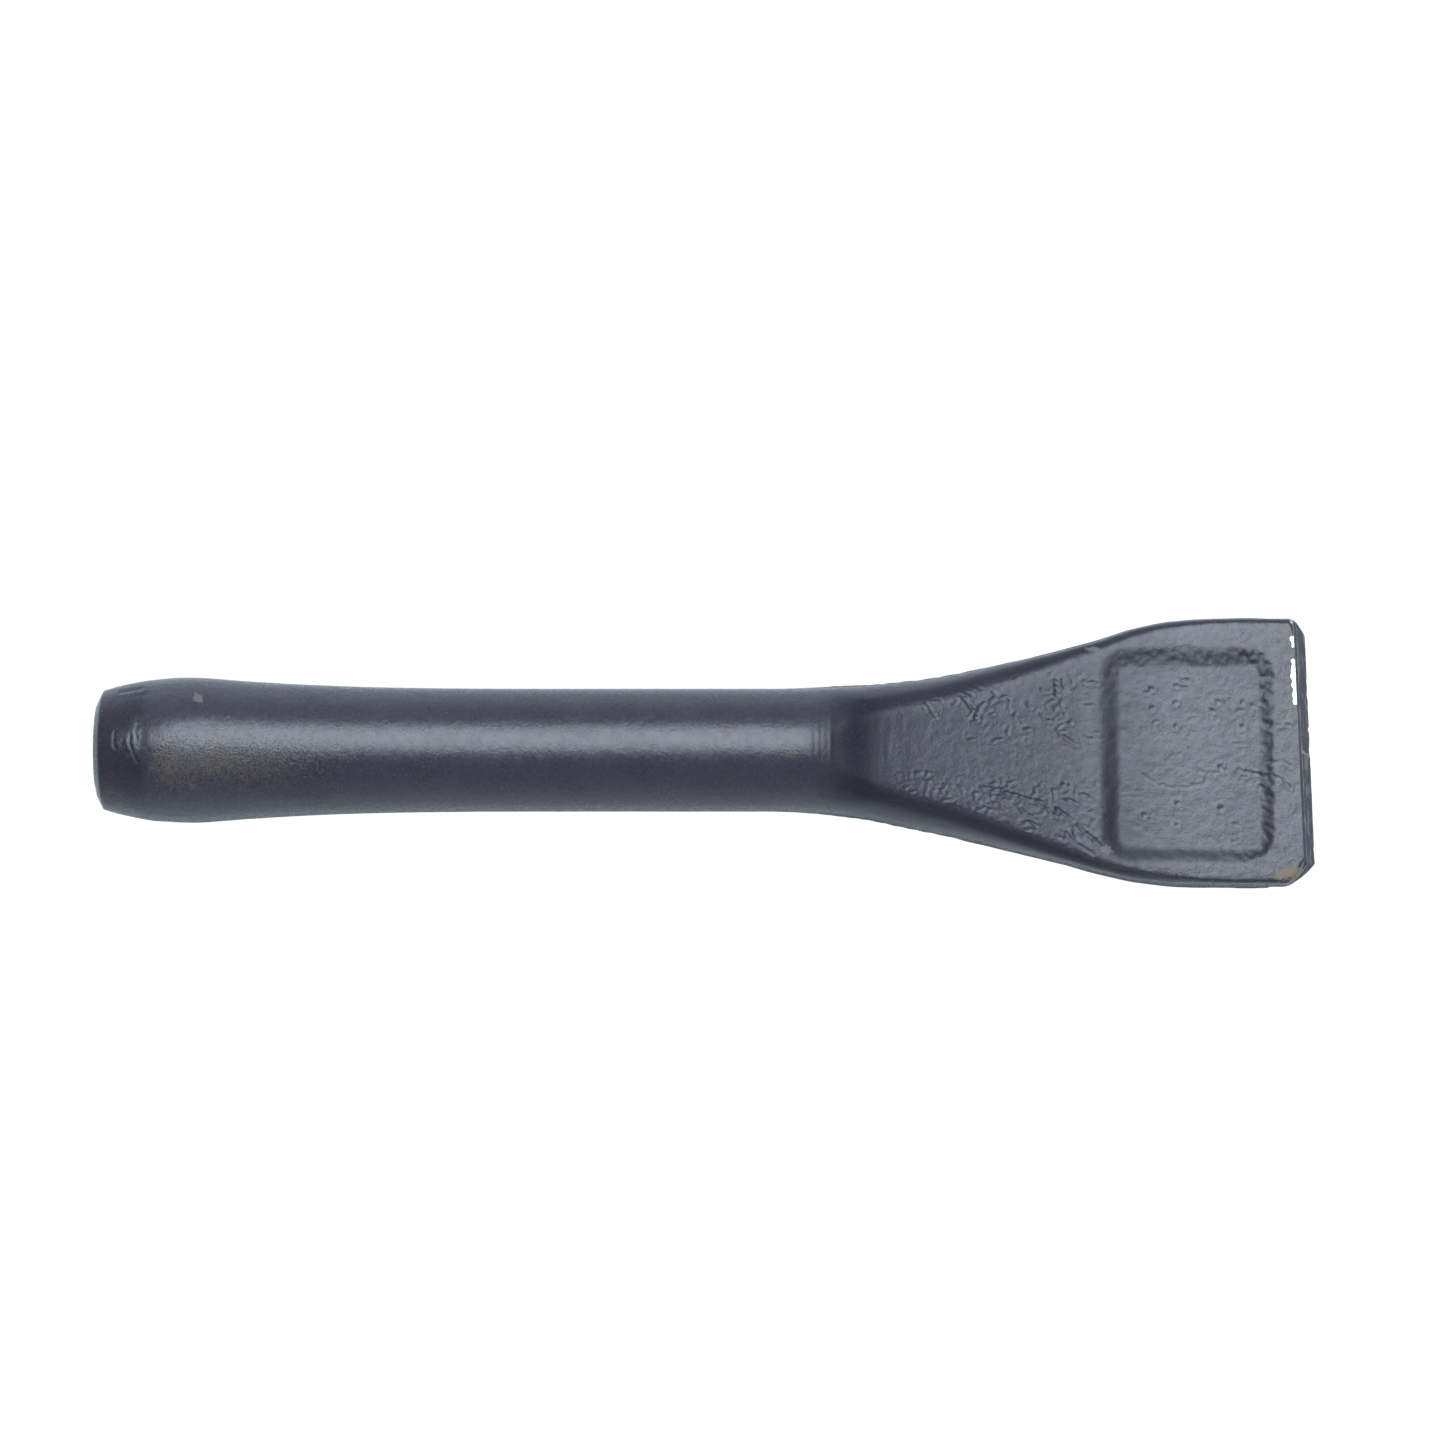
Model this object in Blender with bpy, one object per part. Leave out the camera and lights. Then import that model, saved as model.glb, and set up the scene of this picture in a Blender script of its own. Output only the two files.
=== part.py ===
"""A mason's hand set: a forged steel body with two carbide tips brazed into its working end.

Metres, +Z up.  The tool lies on its flat back with the scooped face up.  X runs from the striking
end to the working end, and the origin is under the middle of the tool, on the bench.
"""

import math

import bmesh
import bpy
import numpy as np

MM = 0.001

# ---- driving dimensions -----------------------------------------------------------------------
LENGTH = 229.0 * MM                  # striking face to the edge of the tips
SHANK_DIAMETER = 23.0 * MM
HEAD_DIAMETER = 27.2 * MM            # the bulge behind the striking face
STRIKING_FACE_DIAMETER = 17.6 * MM
RIM_DIAMETER = 22.3 * MM             # where the chamfer meets the rounded head
CHAMFER_LENGTH = 1.2 * MM
HEAD_LENGTH = 19.5 * MM              # striking face to the middle of the bulge
TAPER_LENGTH = 68.0 * MM             # bulge to the straight shank
FLARE_LENGTH = 84.0 * MM             # straight shank to the parallel blade
BLADE_LENGTH = 17.0 * MM             # the parallel blade, up to the working end
BLADE_WIDTH = 51.1 * MM
BLADE_THICKNESS = 15.8 * MM
CORNER_RADIUS = 3.2 * MM             # corners of the working end, seen from above
END_LEAN = math.radians(15.0)        # the working end reaches further at the back of the tool
END_SKEW = math.radians(1.9)         # and a little further on its right than on its left
SCOOP_LENGTH = 75.0 * MM             # neck to the parallel blade
SHOULDER_HEIGHT = 1.2 * MM           # how much of the rounded shoulders the scoop cuts away
SIDE_DRAFT = math.radians(5.0)       # the blade's sides lean in above and below the widest line
FLARE_SHIFT = -0.8 * MM              # the flare bulges a little more on its right side

PANEL_LENGTH = 32.7 * MM             # the sunken panel, measured at the face
PANEL_DEPTH = 0.6 * MM
PANEL_WALL = 3.2 * MM                # how far the panel's wall leans in
PANEL_RADIUS = 4.8 * MM
PANEL_END_LAND = 3.7 * MM            # face left between the panel and the working end
PANEL_SIDE_LAND = 5.1 * MM           # blade left on each side of the panel
PANEL_OFFSET = -1.2 * MM             # the panel lies a little to one side

LIP_THICKNESS = 4.0 * MM             # steel left over the tips
TIP_LENGTH = 8.6 * MM
BRAZE_THICKNESS = 0.4 * MM
GAP = 0.3 * MM                       # clearance between pieces that touch

# ---- what follows from them -------------------------------------------------------------------
AXIS_HEIGHT = max(HEAD_DIAMETER, SHANK_DIAMETER) / 2     # the thicker one rests on the bench
BLADE_START = LENGTH - BLADE_LENGTH
FLARE_START = BLADE_START - FLARE_LENGTH
SHANK_TOP = AXIS_HEIGHT + SHANK_DIAMETER / 2
SKEW_PIVOT = BLADE_WIDTH / 2 - CORNER_RADIUS             # the skewed end reaches furthest here
FACE_EDGE = LENGTH - BLADE_THICKNESS * math.tan(END_LEAN) - SKEW_PIVOT * math.tan(END_SKEW)
PANEL_WIDTH = BLADE_WIDTH - 2 * PANEL_SIDE_LAND
SEAT_HEIGHT = BLADE_THICKNESS - LIP_THICKNESS
TIP_HEIGHT = SEAT_HEIGHT - BRAZE_THICKNESS - 2 * GAP
SEAT_START = LENGTH - TIP_LENGTH - BRAZE_THICKNESS - 2 * GAP

# ---- how the uncut forging is built up --------------------------------------------------------
RING_POINTS = 44                     # points round each cross-section
BELOW_BENCH = 1.5 * MM               # how far the uncut blade reaches below its flat back
CUT_MARGIN = 10.0 * MM               # how far a cutter reaches past what it cuts
BLADE_SQUARENESS = 6.0               # the blade's section is this much squarer than a circle
DOME_POWER = 2.5                     # how full the rounding of the head is

# Outline of the flare: how far along it, and how much of the widening is done there.
FLARE_OUTLINE = ((0.0, 0.0), (0.17, 0.042), (0.30, 0.15), (0.50, 0.43), (0.70, 0.725),
                 (0.79, 0.885), (0.88, 0.97), (1.0, 1.0))
# Scoop: how far along it, and how much of the drop from the shank to the blade is done there.
SCOOP_OUTLINE = ((0.0, 0.0), (0.044, 0.146), (0.10, 0.33), (0.163, 0.478), (0.223, 0.587),
                 (0.283, 0.669), (0.372, 0.778), (0.447, 0.86), (0.523, 0.927), (0.581, 0.974),
                 (0.64, 1.0), (1.0, 1.0))
SCOOP_START_SLOPE = 3.4              # the scoop drops at once, so the neck shows an edge


def smooth_curve(points, at, start_slope=0.0):
    """Monotone cubic through a few points: no overshoot between them, and level at its end."""
    xs, ys = np.array(points, dtype=float).T
    step = np.diff(xs)
    slope = np.diff(ys) / step
    tangent = np.zeros(len(xs))
    tangent[0] = start_slope
    rising = slope[:-1] * slope[1:] > 0
    mean = 2 * slope[:-1] * slope[1:] / np.where(rising, slope[:-1] + slope[1:], 1.0)
    tangent[1:-1] = np.where(rising, mean, 0.0)
    k = np.clip(np.searchsorted(xs, at, side="right") - 1, 0, len(step) - 1)
    t = np.clip((at - xs[k]) / step[k], 0.0, 1.0)
    return (ys[k] * (1 + 2 * t) * (1 - t) ** 2 + tangent[k] * step[k] * t * (1 - t) ** 2
            + ys[k + 1] * t * t * (3 - 2 * t) + tangent[k + 1] * step[k] * t * t * (t - 1))


def between(start, end, at):
    """0 before start, 1 after end, and a smooth rise from one to the other."""
    t = np.clip((at - start) / (end - start), 0.0, 1.0)
    return t * t * (3 - 2 * t)


def head_radius(at):
    """Chamfer, rounded head, bulge, and a long taper down to the shank."""
    face, rim, bulge = STRIKING_FACE_DIAMETER / 2, RIM_DIAMETER / 2, HEAD_DIAMETER / 2
    chamfer = face + (rim - face) * at / CHAMFER_LENGTH
    rounding = np.clip((HEAD_LENGTH - at) / (HEAD_LENGTH - CHAMFER_LENGTH), 0.0, 1.0)
    dome = rim + (bulge - rim) * (1 - rounding ** DOME_POWER)
    taper = np.clip(1 - (at - HEAD_LENGTH) / TAPER_LENGTH, 0.0, 1.0)
    shank = SHANK_DIAMETER / 2 + (bulge - SHANK_DIAMETER / 2) * taper ** 3
    return np.where(at < CHAMFER_LENGTH, chamfer, np.where(at < HEAD_LENGTH, dome, shank))


def half_width(at):
    """Half the tool's width: the round head and shank, the flare, and the blade's corners."""
    widening = (BLADE_WIDTH - SHANK_DIAMETER) / 2
    flare = widening * smooth_curve(FLARE_OUTLINE, (at - FLARE_START) / FLARE_LENGTH)
    corner = np.clip((at - (LENGTH - CORNER_RADIUS)) / CORNER_RADIUS, 0.0, 1.0)
    return head_radius(at) + flare - CORNER_RADIUS * (1 - np.sqrt(1 - corner ** 2))


def face_height(at):
    """Height of the scooped face: the top of the shank at the neck, the blade's face at its end."""
    along = np.clip((at - BLADE_START + SCOOP_LENGTH) / SCOOP_LENGTH, 0.0, 1.0)
    drop = smooth_curve(SCOOP_OUTLINE, along, SCOOP_START_SLOPE)
    return SHANK_TOP - (SHANK_TOP - BLADE_THICKNESS) * drop


def section(at):
    """One cross-section of the uncut forging: a circle that turns into a squarer, drafted slab."""
    scoop = np.clip((at - BLADE_START + SCOOP_LENGTH) / SCOOP_LENGTH, 0.0, 1.0)
    flattening = between(FLARE_START, FLARE_START + FLARE_LENGTH / 2, at)
    middle = AXIS_HEIGHT - (AXIS_HEIGHT - BLADE_THICKNESS / 2) * flattening
    shoulder = SHOULDER_HEIGHT * between(0.0, SHOULDER_HEIGHT / SCOOP_LENGTH * 5, scoop)
    round_top = AXIS_HEIGHT + head_radius(at)
    top = np.where(scoop > 0, face_height(at) + shoulder, round_top) - middle
    round_bottom = middle - AXIS_HEIGHT + head_radius(at)
    bottom = round_bottom + (middle + BELOW_BENCH - round_bottom) * flattening
    power = 2.0 * BLADE_SQUARENESS ** (scoop ** 1.25)

    turn = np.arange(RING_POINTS) * 2 * math.pi / RING_POINTS
    across, up = np.cos(turn), np.sin(turn)
    rise = np.where(up > 0, top, bottom) * np.sign(up) * np.abs(up) ** (2 / power)
    lean = scoop * math.tan(SIDE_DRAFT) * np.abs(rise)
    y = (half_width(at) - lean) * np.sign(across) * np.abs(across) ** (2 / power)
    y = y + FLARE_SHIFT * np.sin(math.pi * scoop) ** 2
    z = middle + rise
    slant = np.clip(1 - (LENGTH - at) / TIP_LENGTH, 0.0, 1.0)
    x = at - slant * (z * math.tan(END_LEAN) + (y + SKEW_PIVOT) * math.tan(END_SKEW))
    return np.stack([x - LENGTH / 2, y, z], axis=1)


def stations():
    """Where the cross-sections stand: close together where the outline bends."""
    head = CHAMFER_LENGTH + (HEAD_LENGTH - CHAMFER_LENGTH) * (1 - np.cos(
        np.linspace(0, math.pi / 2, 8)))
    taper = HEAD_LENGTH + TAPER_LENGTH * np.linspace(0.08, 1, 8) ** 1.3
    flare = np.linspace(FLARE_START, BLADE_START, 29)
    corner = LENGTH - CORNER_RADIUS * (1 - np.sin(np.linspace(0, math.pi / 2, 6)))
    return np.concatenate([[0.0], head, taper, flare, [LENGTH - TIP_LENGTH], corner])


def collection(name):
    made = bpy.data.collections.new(name)
    bpy.context.scene.collection.children.link(made)
    return made


def mesh_object(name, bm, where):
    bmesh.ops.recalc_face_normals(bm, faces=bm.faces)
    mesh = bpy.data.meshes.new(name)
    bm.to_mesh(mesh)
    bm.free()
    made = bpy.data.objects.new(name, mesh)
    where.objects.link(made)
    return made


def paint(obj, name, colour, roughness, metallic):
    material = bpy.data.materials.new(name)
    material.use_nodes = True
    shader = material.node_tree.nodes["Principled BSDF"]
    shader.inputs["Base Color"].default_value = (*colour, 1.0)
    shader.inputs["Roughness"].default_value = roughness
    shader.inputs["Metallic"].default_value = metallic
    obj.data.materials.clear()
    obj.data.materials.append(material)


def loft(name, where):
    """The uncut forging: a skin over the cross-sections, closed at both ends."""
    bm = bmesh.new()
    rings = [[bm.verts.new(point) for point in section(at)] for at in stations()]
    for ring, following in zip(rings, rings[1:]):
        for i in range(RING_POINTS):
            j = (i + 1) % RING_POINTS
            bm.faces.new((ring[i], ring[j], following[j], following[i]))
    bm.faces.new(rings[0])
    bm.faces.new(rings[-1])
    return mesh_object(name, bm, where)


def prism(name, outline, width, where):
    """An outline in X and Z, drawn out across the whole width."""
    bm = bmesh.new()
    near = [bm.verts.new((x, -width / 2, z)) for x, z in outline]
    face = bm.faces.new(near)
    out = bmesh.ops.extrude_face_region(bm, geom=[face])
    moved = [v for v in out["geom"] if isinstance(v, bmesh.types.BMVert)]
    bmesh.ops.translate(bm, verts=moved, vec=(0.0, width, 0.0))
    return cutter(mesh_object(name, bm, where))


def block(name, low, high, where):
    """A box between two corners."""
    bm = bmesh.new()
    bmesh.ops.create_cube(bm, size=1.0)
    low, high = np.array(low), np.array(high)
    bmesh.ops.scale(bm, verts=bm.verts, vec=tuple(high - low))
    bmesh.ops.translate(bm, verts=bm.verts, vec=tuple((low + high) / 2))
    return cutter(mesh_object(name, bm, where))


def cutter(obj):
    obj.hide_render = True
    obj.display_type = "WIRE"
    return obj


def rounded_rectangle(length, width, radius):
    """Corner arcs of a rectangle centred on the origin."""
    turns = np.linspace(0, math.pi / 2, 6)
    points = []
    for quarter, (sx, sy) in enumerate(((1, 1), (-1, 1), (-1, -1), (1, -1))):
        turn = turns + quarter * math.pi / 2
        points.append(np.stack([sx * (length / 2 - radius) + radius * np.cos(turn),
                                sy * (width / 2 - radius) + radius * np.sin(turn)], axis=1))
    return np.concatenate(points)


def panel_cutter(where):
    """The punch that sinks the panel: its walls lean in, and it reaches above the face."""
    middle = FACE_EDGE - PANEL_END_LAND - PANEL_LENGTH / 2 - LENGTH / 2
    lean = PANEL_WALL / PANEL_DEPTH
    bm = bmesh.new()
    rings = []
    for height in (-PANEL_DEPTH, 0.0, PANEL_DEPTH):
        grow = 2 * lean * height
        corner = PANEL_RADIUS + lean * max(height, 0.0)
        outline = rounded_rectangle(PANEL_LENGTH + grow, PANEL_WIDTH + grow, corner)
        rings.append([bm.verts.new((middle + x, PANEL_OFFSET + y, BLADE_THICKNESS + height))
                      for x, y in outline])
    for ring, following in zip(rings, rings[1:]):
        for i in range(len(ring)):
            j = (i + 1) % len(ring)
            bm.faces.new((ring[i], ring[j], following[j], following[i]))
    bm.faces.new(rings[0])
    bm.faces.new(rings[-1])
    return cutter(mesh_object("panel_punch", bm, where))


def scoop_cutter(where):
    """Everything above the scooped face, from the neck to past the working end."""
    start = BLADE_START - SCOOP_LENGTH
    at = start + SCOOP_LENGTH * np.concatenate([np.linspace(0.0, 0.3, 12),
                                                np.linspace(0.36, 1.0, 8)])
    floor = [(x - LENGTH / 2, float(z)) for x, z in zip(at, face_height(at))]
    past, above = LENGTH / 2 + CUT_MARGIN, SHANK_TOP + CUT_MARGIN
    outline = floor + [(past, BLADE_THICKNESS), (past, above), (floor[0][0], above)]
    return prism("scoop_waste", outline, 2 * BLADE_WIDTH, where)


def cut(obj, tool, operation="DIFFERENCE"):
    """A Boolean that is applied at once, so that later copies already carry it."""
    modifier = obj.modifiers.new(tool.name, "BOOLEAN")
    modifier.operation = operation
    modifier.object = tool
    modifier.solver = "EXACT"
    depsgraph = bpy.context.evaluated_depsgraph_get()
    result = bpy.data.meshes.new_from_object(obj.evaluated_get(depsgraph))
    obj.modifiers.clear()
    obj.data = result


def copy_of(obj, name, where):
    made = bpy.data.objects.new(name, obj.data.copy())
    where.objects.link(made)
    return made


def build():
    for obj in list(bpy.data.objects):
        bpy.data.objects.remove(obj, do_unlink=True)
    parts = collection("mason_hand_set")
    cutters = collection("cutters")

    body = loft("forged_body", parts)
    cut(body, scoop_cutter(cutters))
    bench = block("below_the_bench", (-LENGTH, -BLADE_WIDTH, -2 * CUT_MARGIN),
                  (LENGTH, BLADE_WIDTH, 0.0), cutters)
    cut(body, bench)

    envelope = copy_of(body, "envelope", cutters)
    cut(body, panel_cutter(cutters))
    half = LENGTH / 2
    low, wide = -CUT_MARGIN, BLADE_WIDTH
    cut(body, block("seat_waste", (SEAT_START - half, -wide, low),
                    (half + CUT_MARGIN, wide, SEAT_HEIGHT), cutters))

    wall = SEAT_START + GAP - half
    tip_back = wall + BRAZE_THICKNESS + GAP
    roof = SEAT_HEIGHT - GAP
    web = BRAZE_THICKNESS / 2
    for name, side in (("carbide_tip_left", 1), ("carbide_tip_right", -1)):
        tip = copy_of(envelope, name, parts)
        sides = sorted((side * (web + GAP), side * wide))
        keep = block(name + "_blank", (tip_back, sides[0], low),
                     (half + CUT_MARGIN, sides[1], TIP_HEIGHT), cutters)
        cut(tip, keep, "INTERSECT")
        paint(tip, "sintered_carbide", (0.10, 0.11, 0.12), 0.45, 0.6)

    braze = copy_of(envelope, "braze_joint", parts)
    cut(braze, block("braze_blank", (wall, -wide, low), (half + CUT_MARGIN, wide, roof), cutters),
        "INTERSECT")
    for name, side in (("tip_space_left", 1), ("tip_space_right", -1)):
        sides = sorted((side * web, side * wide))
        cut(braze, block(name, (wall + BRAZE_THICKNESS, sides[0], low),
                         (half + 2 * CUT_MARGIN, sides[1], TIP_HEIGHT + GAP), cutters))
    paint(braze, "braze_metal", (0.50, 0.34, 0.14), 0.35, 0.9)

    paint(body, "dark_enamel", (0.045, 0.052, 0.072), 0.30, 0.0)
    cutter(envelope)
    for obj in parts.objects:
        obj.data.shade_smooth()
        obj.data.set_sharp_from_angle(angle=math.radians(30.0))


build()
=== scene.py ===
# %% [markdown]
# # A mason's hand set
# A hand set is a blunt chisel for knocking the waste off a block of stone. One bar of steel is forged
# into a domed head, a round shank and a wide, scooped blade. Two blocks of carbide are brazed into the
# working end, and the whole tool is dipped in dark enamel.
#
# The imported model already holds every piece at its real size, so the first step loads it. Each piece is
# then made again as a fine surface in the same place, and the plain solid is hidden.

# %% Load the fixed frame
import math

import bpy
import numpy as np
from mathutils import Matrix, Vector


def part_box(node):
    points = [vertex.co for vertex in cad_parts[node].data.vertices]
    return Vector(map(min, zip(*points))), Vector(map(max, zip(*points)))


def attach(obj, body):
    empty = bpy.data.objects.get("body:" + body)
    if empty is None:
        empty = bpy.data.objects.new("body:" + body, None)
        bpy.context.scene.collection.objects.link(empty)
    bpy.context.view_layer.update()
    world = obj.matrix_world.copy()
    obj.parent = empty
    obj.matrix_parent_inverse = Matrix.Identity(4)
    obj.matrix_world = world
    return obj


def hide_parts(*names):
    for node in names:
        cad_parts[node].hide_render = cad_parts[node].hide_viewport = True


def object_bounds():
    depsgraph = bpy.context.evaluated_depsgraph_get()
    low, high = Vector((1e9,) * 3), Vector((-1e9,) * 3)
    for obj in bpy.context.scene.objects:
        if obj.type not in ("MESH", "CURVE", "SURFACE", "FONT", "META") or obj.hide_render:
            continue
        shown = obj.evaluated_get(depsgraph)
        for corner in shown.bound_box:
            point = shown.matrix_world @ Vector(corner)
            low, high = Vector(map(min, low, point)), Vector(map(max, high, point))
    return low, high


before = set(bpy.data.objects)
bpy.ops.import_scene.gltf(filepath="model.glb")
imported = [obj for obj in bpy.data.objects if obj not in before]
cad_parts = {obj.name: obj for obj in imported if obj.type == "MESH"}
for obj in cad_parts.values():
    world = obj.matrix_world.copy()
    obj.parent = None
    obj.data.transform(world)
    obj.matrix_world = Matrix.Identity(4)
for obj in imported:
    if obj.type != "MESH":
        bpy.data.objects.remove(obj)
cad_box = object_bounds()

print("pieces in the frame:", sorted(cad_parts))

# %% [markdown]
# ## The sizes
# Everything below is worked out in millimetres and turned into metres when a mesh is made. The overall
# sizes come from the loaded model. The others are the tool's own design values: where the head is widest,
# how long the flare is, how deep the panel is stamped.

# %% Sizes from the frame, and the tool's own sizes
MM = 0.001
cad_low, cad_high = np.array(cad_box[0]) / MM, np.array(cad_box[1]) / MM
body_low = np.array(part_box("forged_body")[0]) / MM
tip_low, tip_high = (np.array(corner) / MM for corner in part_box("carbide_tip_left"))
braze_low, braze_high = (np.array(corner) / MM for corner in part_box("braze_joint"))

LENGTH = -2 * body_low[0]            # the origin is under the middle of the tool
DIE_LINE = 0.3                       # room at each side for the line that the dies raised
BLADE_WIDTH = cad_high[1] - cad_low[1] - 2 * DIE_LINE
HEAD_RADIUS = (cad_high[2] - cad_low[2]) / 2
AXIS = HEAD_RADIUS                   # the bulge of the head rests on the bench
SHANK_RADIUS = 11.5
STRIKING_RADIUS = 8.8                # the flat of the striking face
RIM_RADIUS = 11.15                   # where its chamfer meets the rounded head
CHAMFER = 1.2
HEAD_LENGTH = 19.5                   # from the striking face to the widest place
DOME_POWER = 2.5                     # how full the dome between them is
TAPER_LENGTH = 68.0
BLADE_THICKNESS = 15.8
BLADE_START = LENGTH - 17.0
FLARE_LENGTH = 84.0
FLARE_START = BLADE_START - FLARE_LENGTH
FLARE_SHIFT = -0.8                   # the flare bulges a little more on its right side
SCOOP_LENGTH = 75.0
NECK = BLADE_START - SCOOP_LENGTH
SHANK_TOP = AXIS + SHANK_RADIUS
RIGHT_CORNER = np.array([6.5, 4.0])  # how far back the corner starts, and how much it takes off
LEFT_CORNER = np.array([2.9, 1.8])
CUT_POWER = 1.8                      # the right corner is cut, and its cut bends a little
END_LEAN = math.tan(math.radians(13.9))           # the lower edge of the end leads
END_SKEW = math.tan(math.radians(1.9))            # and so does its right side
SKEW_PIVOT = BLADE_WIDTH / 2 - 2.9   # the end reaches furthest this far to the right
SHOULDER = 1.2                       # the sides would close this far above the face,
UNDERCUT = 1.5                       # and this far below the flat back
SIDE_DRAFT = 0.0875                  # slope of the blade's sides, so that the dies let go
STEEP_DRAFT = 0.01                   # the right side is nearly upright above its widest line
GAP = 0.3                            # clearance between pieces in the frame
SEAT_START = braze_low[0] + LENGTH / 2 - GAP
SEAT_HEIGHT = braze_high[2] + GAP
TIP_LENGTH = LENGTH / 2 - tip_low[0]
print(f"tool {LENGTH:.1f} long, blade {BLADE_WIDTH:.1f} wide, seat {SEAT_HEIGHT:.1f} high")

# %% [markdown]
# ## Curves and noise
# A few small tools do most of the work. The first draws a smooth curve through a few points, without
# overshooting them. A smooth step, a bell curve and a soft minimum fade one shape into the next; the soft
# minimum rounds the edge where two surfaces meet, as forging dies do, and a higher power makes it crisper.
#
# The last is value noise: random numbers on the corners of a 3-D lattice, blended smoothly in between. It
# gives lumps, dents and ragged edges that are the same at each run, because the random numbers come from
# a fixed seed. Blender's own displace textures could do this too, but with numpy the same noise can also
# say where paint is chipped.

# %% Smooth curves and steps, a soft minimum and value noise
LATTICE = 64                         # the noise repeats after this many cells


def smooth_curve(points, at, start_slope=0.0):
    """Cubic pieces between the points; each inner slope is the harmonic mean of its two neighbours."""
    xs, ys = np.array(points, dtype=float).T
    step = np.diff(xs)
    slope = np.diff(ys) / step
    tangent = np.zeros(len(xs))
    tangent[0] = start_slope
    rising = slope[:-1] * slope[1:] > 0
    mean = 2 * slope[:-1] * slope[1:] / np.where(rising, slope[:-1] + slope[1:], 1.0)
    tangent[1:-1] = np.where(rising, mean, 0.0)
    k = np.clip(np.searchsorted(xs, at, side="right") - 1, 0, len(step) - 1)
    t = np.clip((at - xs[k]) / step[k], 0.0, 1.0)
    return (ys[k] * (1 + 2 * t) * (1 - t) ** 2 + tangent[k] * step[k] * t * (1 - t) ** 2
            + ys[k + 1] * t * t * (3 - 2 * t) + tangent[k + 1] * step[k] * t * t * (t - 1))


def between(start, end, at):
    """3t^2 - 2t^3, where t runs from 0 at start to 1 at end."""
    t = np.clip((at - start) / (end - start), 0.0, 1.0)
    return t * t * (3 - 2 * t)


def bell(distance, width):
    """A bell curve: 1 at no distance, and nearly 0 two widths away."""
    return np.exp(-(distance / width) ** 2)


def soft_least(a, b, power):
    """The shorter of two lengths, times (1 + (shorter/longer)^power)^(-1/power)."""
    least, most = np.minimum(a, b), np.maximum(a, b)
    return least * (1 + (least / most) ** power) ** (-1 / power)


def noise(points, size, seed, octaves=1):
    """Value noise from -1 to 1: lattice values blended by a smooth step, each octave half as large."""
    total, weight = 0.0, 0.0
    for octave in range(octaves):
        table = np.random.default_rng(seed + octave).uniform(-1, 1, (LATTICE, LATTICE, LATTICE))
        at = points / size * 2 ** octave
        cell = np.floor(at).astype(int)
        t = at - cell
        t = t * t * (3 - 2 * t)
        blend = 0.0
        for corner in np.ndindex(2, 2, 2):
            i, j, k = ((cell[..., axis] + corner[axis]) % LATTICE for axis in range(3))
            share = np.prod(np.where(np.array(corner) == 1, t, 1 - t), axis=-1)
            blend = blend + share * table[i, j, k]
        total = total + blend / 2 ** octave
        weight += 1 / 2 ** octave
    return total / weight


# %% [markdown]
# ## The forging as a function
# The body is one closed skin. Seen along the tool, each cross-section is a superellipse, which is
# |y/w|^n + |z/h|^n = 1: with n = 2 it is the round shank, and as n grows it turns into the square blade.
# The outline from above, the height of the scooped face and n all change with the distance from the
# striking face. A lathe profile could give the shank and a box the blade, but the flare between
# them changes shape all the way, so a function of two parameters suits the whole forging.

# %% Outline, face height and head, along the tool
FLARE_OUTLINE = ((0.0, 0.0), (0.17, 0.042), (0.30, 0.15), (0.50, 0.43), (0.70, 0.725),
                 (0.79, 0.885), (0.88, 0.97), (1.0, 1.0))
SCOOP_OUTLINE = ((0.0, 0.0), (0.044, 0.146), (0.10, 0.33), (0.163, 0.478), (0.223, 0.587),
                 (0.283, 0.669), (0.372, 0.778), (0.447, 0.86), (0.523, 0.927), (0.581, 0.974),
                 (0.64, 1.0), (1.0, 1.0))
SCOOP_START_SLOPE = 3.4


def head_radius(s):
    """Chamfer, dome and bulge, and a taper that falls away with the cube of the distance left."""
    chamfer = STRIKING_RADIUS + (RIM_RADIUS - STRIKING_RADIUS) * s / CHAMFER
    left = np.clip((HEAD_LENGTH - s) / (HEAD_LENGTH - CHAMFER), 0.0, 1.0)
    dome = RIM_RADIUS + (HEAD_RADIUS - RIM_RADIUS) * (1 - left ** DOME_POWER)
    taper = np.clip(1 - (s - HEAD_LENGTH) / TAPER_LENGTH, 0.0, None)
    shank = SHANK_RADIUS + (HEAD_RADIUS - SHANK_RADIUS) * taper ** 3
    return np.where(s < CHAMFER, chamfer, soft_least(dome, shank, 160.0))


def half_width(s):
    """Half the width from above: the head and shank, and the flare."""
    flare = (BLADE_WIDTH / 2 - SHANK_RADIUS) * smooth_curve(FLARE_OUTLINE, (s - FLARE_START) / FLARE_LENGTH)
    return head_radius(s) + flare


def corner_loss(s, y):
    """How much the corners of the working end take off the width: cut on the right, rounded on the left."""
    right = np.clip(1 - (LENGTH - s) / RIGHT_CORNER[0], 0.0, 1.0)
    left = np.clip(1 - (LENGTH - s) / LEFT_CORNER[0], 0.0, 1.0)
    rounded = 1 - np.sqrt(1 - left ** 2)
    return np.where(y < 0, RIGHT_CORNER[1] * right ** CUT_POWER, LEFT_CORNER[1] * rounded)


def scoop_share(s):
    """How far along the scoop a place is: 0 at the neck, 1 where the blade starts."""
    return np.clip((s - NECK) / SCOOP_LENGTH, 0.0, 1.0)


def face_height(s):
    """The scoop: it drops at once at the neck and levels out at the blade."""
    drop = SHANK_TOP - BLADE_THICKNESS
    return SHANK_TOP - drop * smooth_curve(SCOOP_OUTLINE, scoop_share(s), SCOOP_START_SLOPE)


def middle_height(s):
    """Height of the widest line, where the two forging dies met."""
    return AXIS - (AXIS - BLADE_THICKNESS / 2) * between(FLARE_START, FLARE_START + FLARE_LENGTH / 2, s)


print("half widths at the head, shank, flare and blade:",
      np.round(half_width(np.array([20.0, 110.0, 170.0, 215.0])), 2))

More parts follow.
